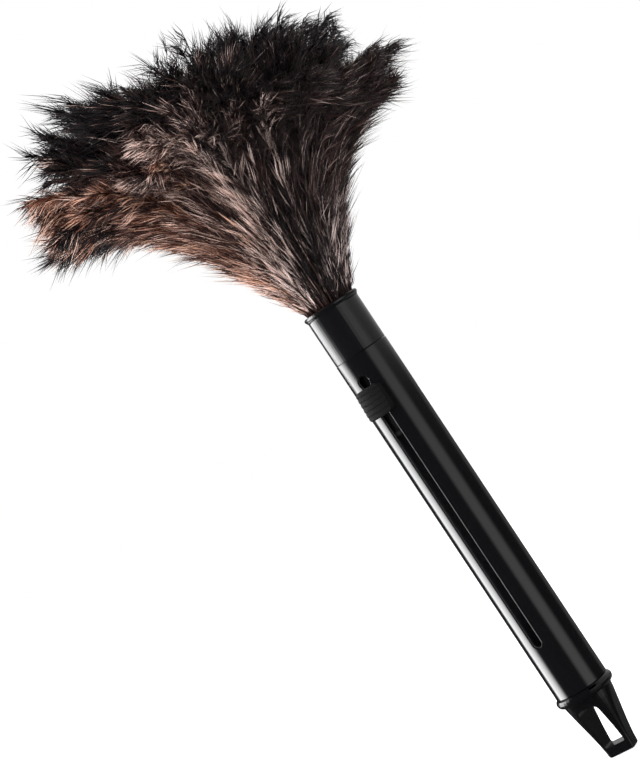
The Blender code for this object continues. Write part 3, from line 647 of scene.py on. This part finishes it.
# Painted shade: a band of layers just inside the red feathers is darkened, as a gap
gap_shade_within = 0.26 * hump(tuft_layer, 0.73, 0.07) * rise(tuft_out, 46, 58)
not_red = 1 - 0.85 * red_feather[tuft_feather] * rise(tuft_layer, 0.99, 0.94)
paleness -= not_red * left * (dark_tip + dark_under + gap_shade_within)
paleness += plume_seed.normal(0, 0.05, tuft_count) - 0.4 * dark_side
# The tufts in the neck's gap are painted nearly black, as its shade
paleness *= 1 - 0.92 * neck_gap_shade
redness = feather_red[tuft_feather] + 0.26 * left * outside * (1 - 0.8 * neck)
redness -= 0.14 * neck + 0.10 * neck_right * neck + 0.3 * dark_side
redness += plume_seed.normal(0, 0.08, tuft_count)

# Some tufts are nearly white and hold together like an ear of grass
bright = pale_feather[tuft_feather] | (neck_left > 0.5)
ear_chance = 0.002 + 0.05 * left * outside + 0.22 * bright + 0.08 * neck_right * neck + 0.20 * streak_tuft
ear_chance *= 1 - 0.9 * np.clip(dark_side + neck_gap_shade, 0, 1)
ear = plume_seed.uniform(0, 1, tuft_count) < ear_chance
paleness = np.where(ear, plume_seed.uniform(0.62, 1.0, tuft_count), paleness)
tuft_lift = np.where(ear, tuft_lift + 0.08, tuft_lift)
tuft_places = barb_places(tuft_feather, tuft_start, tuft_length, tuft_angle, tuft_tilt, tuft_lift, tuft_curl)
paleness = np.where(narrow & (plume_seed.uniform(0, 1, tuft_count) < 0.30), 0.15, paleness)
# The top is painted in shade: tufts darken from a level that is higher at the front left. The left end keeps its
# tone.
shade_from = 70 + 24 * near_side(tuft_side, -132, 30)
paleness *= 1 - 0.75 * rise(tuft_height, shade_from, shade_from + 20) * (1 - left * (tuft_out > 50))

# The barbs differ a little from their tuft, and their tips are drawn together, in an ear most of all
barb_count = tuft_count * barbs_per_tuft
barb_tuft = np.repeat(np.arange(tuft_count), barbs_per_tuft)
barb_start = np.clip(tuft_start[barb_tuft] + plume_seed.uniform(-3, 2, barb_count), lowest_barb, None)
places = barb_places(
    tuft_feather[barb_tuft], barb_start, tuft_length[barb_tuft] * plume_seed.uniform(0.7, 1.12, barb_count),
    tuft_angle[barb_tuft] + plume_seed.normal(0, 0.16, barb_count),
    tuft_tilt[barb_tuft] + plume_seed.normal(0, 0.3, barb_count),
    tuft_lift[barb_tuft] + plume_seed.normal(0, 0.04, barb_count),
    tuft_curl[barb_tuft] + plume_seed.normal(0, 0.05, (barb_count, 3)),
)
draw = np.where(ear[barb_tuft][:, None], np.array((0, 0.25, 0.6)), np.array((0, 0.05, 0.14)))
draw = (draw * (1 - 0.8 * at_tip[barb_tuft])[:, None])[..., None]
places = places * (1 - draw) + tuft_places[barb_tuft] * draw
# Over the collar's rim the barbs stay above its lip
rim_radius, lip_height = 9.4, 0.7
reach = np.hypot(places[..., 0], places[..., 1])
places[..., 2] = np.where(reach > rim_radius, np.maximum(places[..., 2], lip_height), places[..., 2])

# Some barbs are frosted: they turn pale towards the tip. All are darker at the root.
frost_chance = 0.08 + 0.06 * left * outside + 0.40 * bright
frosted = plume_seed.uniform(0, 1, barb_count) < frost_chance[barb_tuft]
barb_range = 0.15 + 1.75 * plume_seed.uniform(0, 1, barb_count) ** 2
barb_range = np.where(ear[barb_tuft], plume_seed.uniform(0.7, 1.2, barb_count), barb_range)
barb_pale = paleness[barb_tuft] * barb_range + plume_seed.normal(0, 0.03, barb_count)
barb_red = redness[barb_tuft] + plume_seed.normal(0, 0.06, barb_count)
barb_frost = np.where(frosted, plume_seed.uniform(0.3, 0.9, barb_count), 0.0)
along_barb = np.linspace(0, 1, 3)[None, :]
shaded_root = 0.65 + 0.35 * rise(along_barb, 0, 0.5)
shown_pale = barb_pale[:, None] * shaded_root + barb_frost[:, None] * rise(along_barb, 0.35, 1.0)
shown_pale = np.clip(shown_pale, 0, 1)
shown_red = np.repeat(np.clip(barb_red, 0, 1)[:, None], 3, axis=1)
thickness = plume_seed.uniform(0.8, 1.2, barb_count)[:, None] * np.array((0.125, 0.14, 0.0))[None, :]
thickness *= 1 + 0.25 * at_tip[barb_tuft][:, None]

# A shaft is brown horn, made as spindles that run into each other. It is thick and dark at the mouth, and higher up
# it stands up to 2 mm out of its barbs.
spindle_pace, spindle_length = 0.15, 0.26
every_feather = np.repeat(np.arange(feather_count)[:, None], 3, axis=1)
shaft_pale = np.where(pale_feather, 0.9, plume_seed.uniform(0.15, 0.75, feather_count))
shaft_stand = plume_seed.uniform(0, 2.0, feather_count)
for first in np.arange(0, 0.9, spindle_pace):
    clear_of_mouth = min(first / 0.3, 1)
    at = shaft_length[:, None] * np.linspace(first, min(first + spindle_length, 0.98), 3)[None, :]
    spindle, _, outwards = on_shaft(every_feather, at)
    spindle += shaft_stand[:, None, None] * clear_of_mouth * outwards
    places = np.concatenate((places, spindle))
    taper = (0.42 - 0.32 * first) * np.array((1, 0.8, 0))
    thickness = np.concatenate((thickness, np.tile(taper, (feather_count, 1))))
    spindle_pale = shaft_pale * (0.40 + 0.60 * clear_of_mouth)
    shown_pale = np.concatenate((shown_pale, np.repeat(spindle_pale[:, None], 3, axis=1)))
    shown_red = np.concatenate((shown_red, np.full((feather_count, 3), 0.3)))


def strand_mesh(name, places, thickness, numbers):
    """A mesh of three-sided tapering strands. places: strands by rings by 3, in mm from the mouth. numbers: an
    attribute's name and its value on each ring of each strand."""
    strands, rings = places.shape[:2]
    ahead = np.gradient(places, axis=1)
    ahead /= np.linalg.norm(ahead, axis=2)[..., None] + 1e-9
    guide = np.cross(ahead, np.array((0.31, 0.17, 0.93)))
    guide /= np.linalg.norm(guide, axis=2)[..., None] + 1e-9
    other = np.cross(ahead, guide)
    edges = []
    for corner in range(3):
        angle = 2 * math.pi * corner / 3
        edges.append(
            places[:, :-1] + thickness[:, :-1, None] * (math.cos(angle) * guide + math.sin(angle) * other)[:, :-1]
        )
    sides = np.stack(edges, axis=2).reshape(strands, (rings - 1) * 3, 3)
    points = np.concatenate((sides, places[:, -1:]), axis=1)
    per_strand = (rings - 1) * 3 + 1

    # Each strand has a cell of the map to itself: its foot's cap at the left, then its three sides in rows
    columns = math.ceil(math.sqrt(strands))
    cell = np.stack((np.arange(strands) % columns, np.arange(strands) // columns), axis=1)
    stops = np.linspace(0.14, 0.97, rings)
    side_rows = [(0.04 + corner * 0.31, 0.32 + corner * 0.31) for corner in range(3)]
    faces = [(2, 1, 0)]
    corners_uv = [(0.10, 0.2), (0.03, 0.5), (0.10, 0.8)]
    for ring in range(rings - 2):
        for corner, (low, high) in enumerate(side_rows):
            first, beside = ring * 3 + corner, ring * 3 + (corner + 1) % 3
            faces.append((first, beside, beside + 3, first + 3))
            corners_uv += [(stops[ring], low), (stops[ring], high), (stops[ring + 1], high), (stops[ring + 1], low)]
    last = (rings - 2) * 3
    for corner, (low, high) in enumerate(side_rows):
        faces.append((last + corner, last + (corner + 1) % 3, per_strand - 1))
        corners_uv += [(stops[-2], low), (stops[-2], high), (stops[-1], (low + high) / 2)]

    loops = np.concatenate([np.array(face) for face in faces])
    all_loops = (loops[None, :] + per_strand * np.arange(strands)[:, None]).ravel()
    all_sizes = np.tile(np.array([len(face) for face in faces]), strands)
    starts = np.concatenate(((0,), np.cumsum(all_sizes)[:-1]))
    mesh = bpy.data.meshes.new(name)
    mesh.vertices.add(strands * per_strand)
    mesh.vertices.foreach_set("co", (points.reshape(-1, 3) * 0.001 + (0, 0, mouth_height)).ravel())
    mesh.loops.add(len(all_loops))
    mesh.loops.foreach_set("vertex_index", all_loops.astype(np.int32))
    mesh.polygons.add(len(all_sizes))
    mesh.polygons.foreach_set("loop_start", starts.astype(np.int32))
    flat_map = mesh.uv_layers.new(name="OFBake")
    spread = (np.array(corners_uv)[None] + cell[:, None, :]) / columns
    flat_map.data.foreach_set("uv", spread.reshape(-1).astype(np.float32))
    mesh.update(calc_edges=True)
    for attribute_name, values in numbers.items():
        attribute = mesh.attributes.new(attribute_name, "FLOAT", "POINT")
        on_points = np.concatenate((np.repeat(values[:, :-1], 3, axis=1), values[:, -1:]), axis=1)
        attribute.data.foreach_set("value", on_points.ravel().astype(np.float32))
    mesh.shade_smooth()
    piece = bpy.data.objects.new(name, mesh)
    scene.collection.objects.link(piece)
    return piece


plumage = Finish("plumage", Roughness=0.42, Specular_IOR_Level=0.5)
pale = plumage.node("ShaderNodeAttribute", out="Fac", attribute_name="paleness")
red = plumage.node("ShaderNodeAttribute", out="Fac", attribute_name="redness")
black = (0.0102, 0.0088, 0.0098, 1)
brown = plumage.mix(red, (0.066, 0.049, 0.049, 1), (0.205, 0.066, 0.036, 1))
fair = plumage.mix(red, (0.96, 0.77, 0.72, 1), (0.90, 0.54, 0.39, 1))
deep = plumage.mix(plumage.math("MULTIPLY", pale, 2.2, use_clamp=True), black, brown)
coat = plumage.mix(plumage.math("MULTIPLY_ADD", pale, 2.1, -0.85, use_clamp=True), deep, fair)
plumage_coat = plumage.ends_in(Base_Color=coat)

# The plume is made in forty-eight narrow locks round the axis. A strand that stands further aside from its lock than
# the bore allows is left out. Drawn in, one stretch of the plume lies in the collar, whose bore is narrower.
lock_count = 48
tube_room, collar_room, collar_stretch = 10.0, 8.9, (88, 124)
middle_turn = np.arctan2(places[:, 1:, 1].mean(axis=1), places[:, 1:, 0].mean(axis=1))
strand_lock = np.round(middle_turn / (2 * math.pi) * lock_count).astype(int) % lock_count
lock_turn = strand_lock * 2 * math.pi / lock_count
aside_way = np.stack((-np.sin(lock_turn), np.cos(lock_turn)), axis=1)
aside = np.abs((places[..., :2] * aside_way[:, None, :]).sum(axis=2))
in_collar = (places[..., 2] > collar_stretch[0]) & (places[..., 2] < collar_stretch[1])
fits = (aside < np.where(in_collar, collar_room, tube_room)).all(axis=1)
for lock in range(lock_count):
    turn = lock * 2 * math.pi / lock_count
    mine = fits & (strand_lock == lock)
    piece = strand_mesh(
        f"plume_lock_{lock + 1:02d}", places[mine], thickness[mine],
        {"paleness": shown_pale[mine], "redness": shown_red[mine]},
    )
    piece.data.materials.append(plumage_coat)
    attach(piece, "slide")
    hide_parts(*feather_nodes)
    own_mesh(piece)
